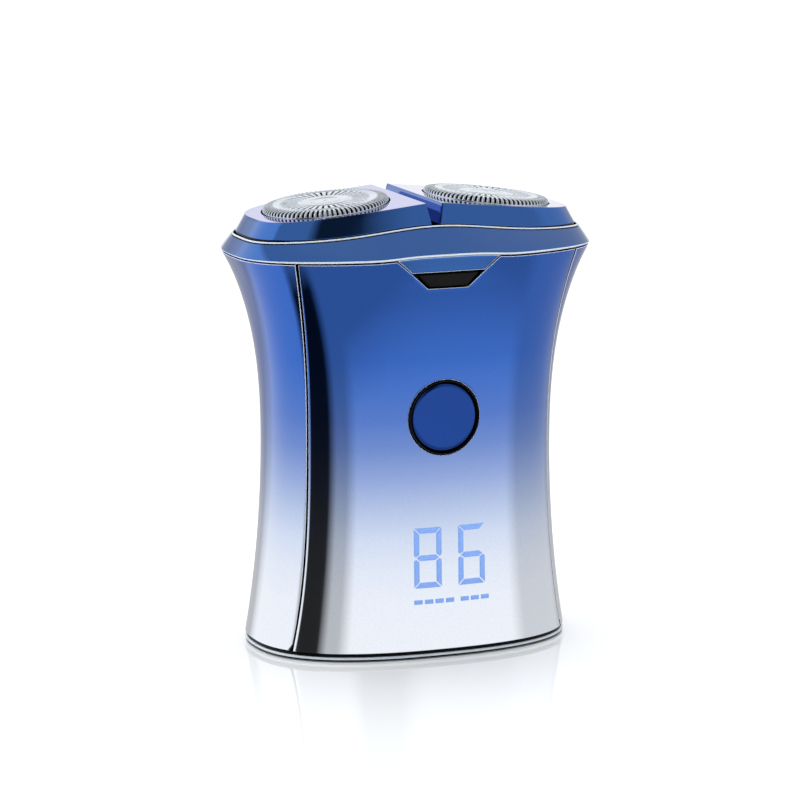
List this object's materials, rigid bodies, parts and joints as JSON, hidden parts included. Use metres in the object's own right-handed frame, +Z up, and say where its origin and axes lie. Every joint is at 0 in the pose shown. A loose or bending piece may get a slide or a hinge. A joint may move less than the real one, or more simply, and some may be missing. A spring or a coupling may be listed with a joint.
{
  "type": "electric shaver",
  "caption": "Pocket rotary electric shaver with a waisted glossy body, flip-open head, tilting round foils, push button and charge display.",
  "frame": {"origin": "centre of the flat underside that the shaver stands on", "axes": "+Z up through the head, -Y the front with the power button, +X to the right seen from the front"},
  "size_m": [0.0632, 0.0418, 0.0775],
  "materials": {
    "shell_gradient": "electroplated gloss, deep blue at the top fading to silver at the foot",
    "head_blue": "electroplated mirror blue",
    "button_blue": "electroplated satin blue",
    "black_gloss": "polished black",
    "black_plastic": "moulded black",
    "grey_plastic": "moulded grey",
    "white_plastic": "moulded acetal white",
    "foil_steel": "polished perforated steel",
    "cutter_steel": "ground steel",
    "plain_steel": "plated steel",
    "spring_steel": "drawn wire",
    "seal_rubber": "soft black",
    "board_green": "solder mask",
    "cell_wrap": "shrink wrap"
  },
  "bodies": {
    "body": {"front_shell": "shell_gradient", "rear_shell": "shell_gradient", "base_plate": "black_gloss", "base_screw_left": "plain_steel", "base_screw_right": "plain_steel", "chassis": "grey_plastic", "battery_cell": "cell_wrap", "circuit_board": "board_green", "display_module": "white_plastic", "tact_switch": "black_plastic", "power_button_ring": "black_gloss", "release_spring": "spring_steel", "charging_port": "plain_steel", "port_tongue": "black_plastic", "motor_can": "plain_steel", "motor_end_cap": "white_plastic", "gear_plate": "grey_plastic", "top_deck": "black_plastic", "deck_screw_1": "plain_steel", "deck_screw_2": "plain_steel", "deck_screw_3": "plain_steel", "deck_screw_4": "plain_steel", "spindle_seal_left": "seal_rubber", "spindle_seal_right": "seal_rubber", "hinge_pin": "plain_steel"},
    "power_key": {"power_button": "button_blue", "tact_plunger": "white_plastic"},
    "release_key": {"release_button": "black_gloss"},
    "rotor": {"motor_shaft": "plain_steel", "drive_pinion": "white_plastic"},
    "left_drive": {"drive_gear_left": "white_plastic", "drive_spindle_left": "white_plastic"},
    "right_drive": {"drive_gear_right": "white_plastic", "drive_spindle_right": "white_plastic"},
    "head": {"head_frame": "head_blue", "cutter_carrier": "black_plastic", "carrier_screw_1": "plain_steel", "carrier_screw_2": "plain_steel", "carrier_screw_3": "plain_steel", "carrier_screw_4": "plain_steel", "pod_pivot_pin_left": "plain_steel", "pod_pivot_pin_right": "plain_steel", "pod_spring_left": "spring_steel", "pod_spring_right": "spring_steel"},
    "left_pod": {"pod_cover_left": "head_blue", "foil_left": "foil_steel", "cutter_retainer_left": "grey_plastic"},
    "right_pod": {"pod_cover_right": "head_blue", "foil_right": "foil_steel", "cutter_retainer_right": "grey_plastic"},
    "left_cutter": {"cutter_left": "cutter_steel"},
    "right_cutter": {"cutter_right": "cutter_steel"}
  },
  "joints": [
    {"name": "head_flip", "type": "hinge", "parent": "body", "child": "head", "pos_m": [0, 0.0206, 0.0679], "axis": [-1, 0, 0], "range_deg": [0, 95]},
    {"name": "power_press", "type": "slide", "parent": "body", "child": "power_key", "axis": [0, 1, 0], "range_m": [0, 0.0008], "stiffness_N_per_m": 800, "springref_m": -0.0008},
    {"name": "release_press", "type": "slide", "parent": "body", "child": "release_key", "axis": [0, 1, 0], "range_m": [0, 0.001], "stiffness_N_per_m": 500, "springref_m": -0.001, "deforming": ["release_spring"]},
    {"name": "left_pod_tilt", "type": "hinge", "parent": "head", "child": "left_pod", "pos_m": [-0.0039, 0, 0.0702], "axis": [0, -1, 0], "range_deg": [0, 3], "stiffness_Nm_per_rad": 0.05, "springref_deg": -5.73, "deforming": ["pod_spring_left"]},
    {"name": "right_pod_tilt", "type": "hinge", "parent": "head", "child": "right_pod", "pos_m": [0.0039, 0, 0.0702], "axis": [0, 1, 0], "range_deg": [0, 3], "stiffness_Nm_per_rad": 0.05, "springref_deg": -5.73, "deforming": ["pod_spring_right"]},
    {"name": "left_drive_spin", "type": "hinge", "parent": "body", "child": "left_drive", "pos_m": [-0.014, 0, 0.06], "axis": [0, 0, 1], "continuous": true},
    {"name": "right_drive_spin", "type": "hinge", "parent": "body", "child": "right_drive", "pos_m": [0.014, 0, 0.06], "axis": [0, 0, 1], "continuous": true},
    {"name": "motor_spin", "type": "hinge", "parent": "body", "child": "rotor", "pos_m": [0, 0, 0.06], "axis": [0, 0, 1], "continuous": true},
    {"name": "left_cutter_spin", "type": "hinge", "parent": "left_pod", "child": "left_cutter", "pos_m": [-0.0146, 0, 0.07485], "axis": [-0.1191, 0, 0.9929], "continuous": true},
    {"name": "right_cutter_spin", "type": "hinge", "parent": "right_pod", "child": "right_cutter", "pos_m": [0.0146, 0, 0.07485], "axis": [0.1191, 0, 0.9929], "continuous": true}
  ],
  "couplings": [
    {"joint": "right_drive_spin", "follows": "left_drive_spin", "ratio": 1},
    {"joint": "motor_spin", "follows": "left_drive_spin", "ratio": -3},
    {"joint": "left_cutter_spin", "follows": "left_drive_spin", "ratio": 1},
    {"joint": "right_cutter_spin", "follows": "left_drive_spin", "ratio": 1}
  ]
}
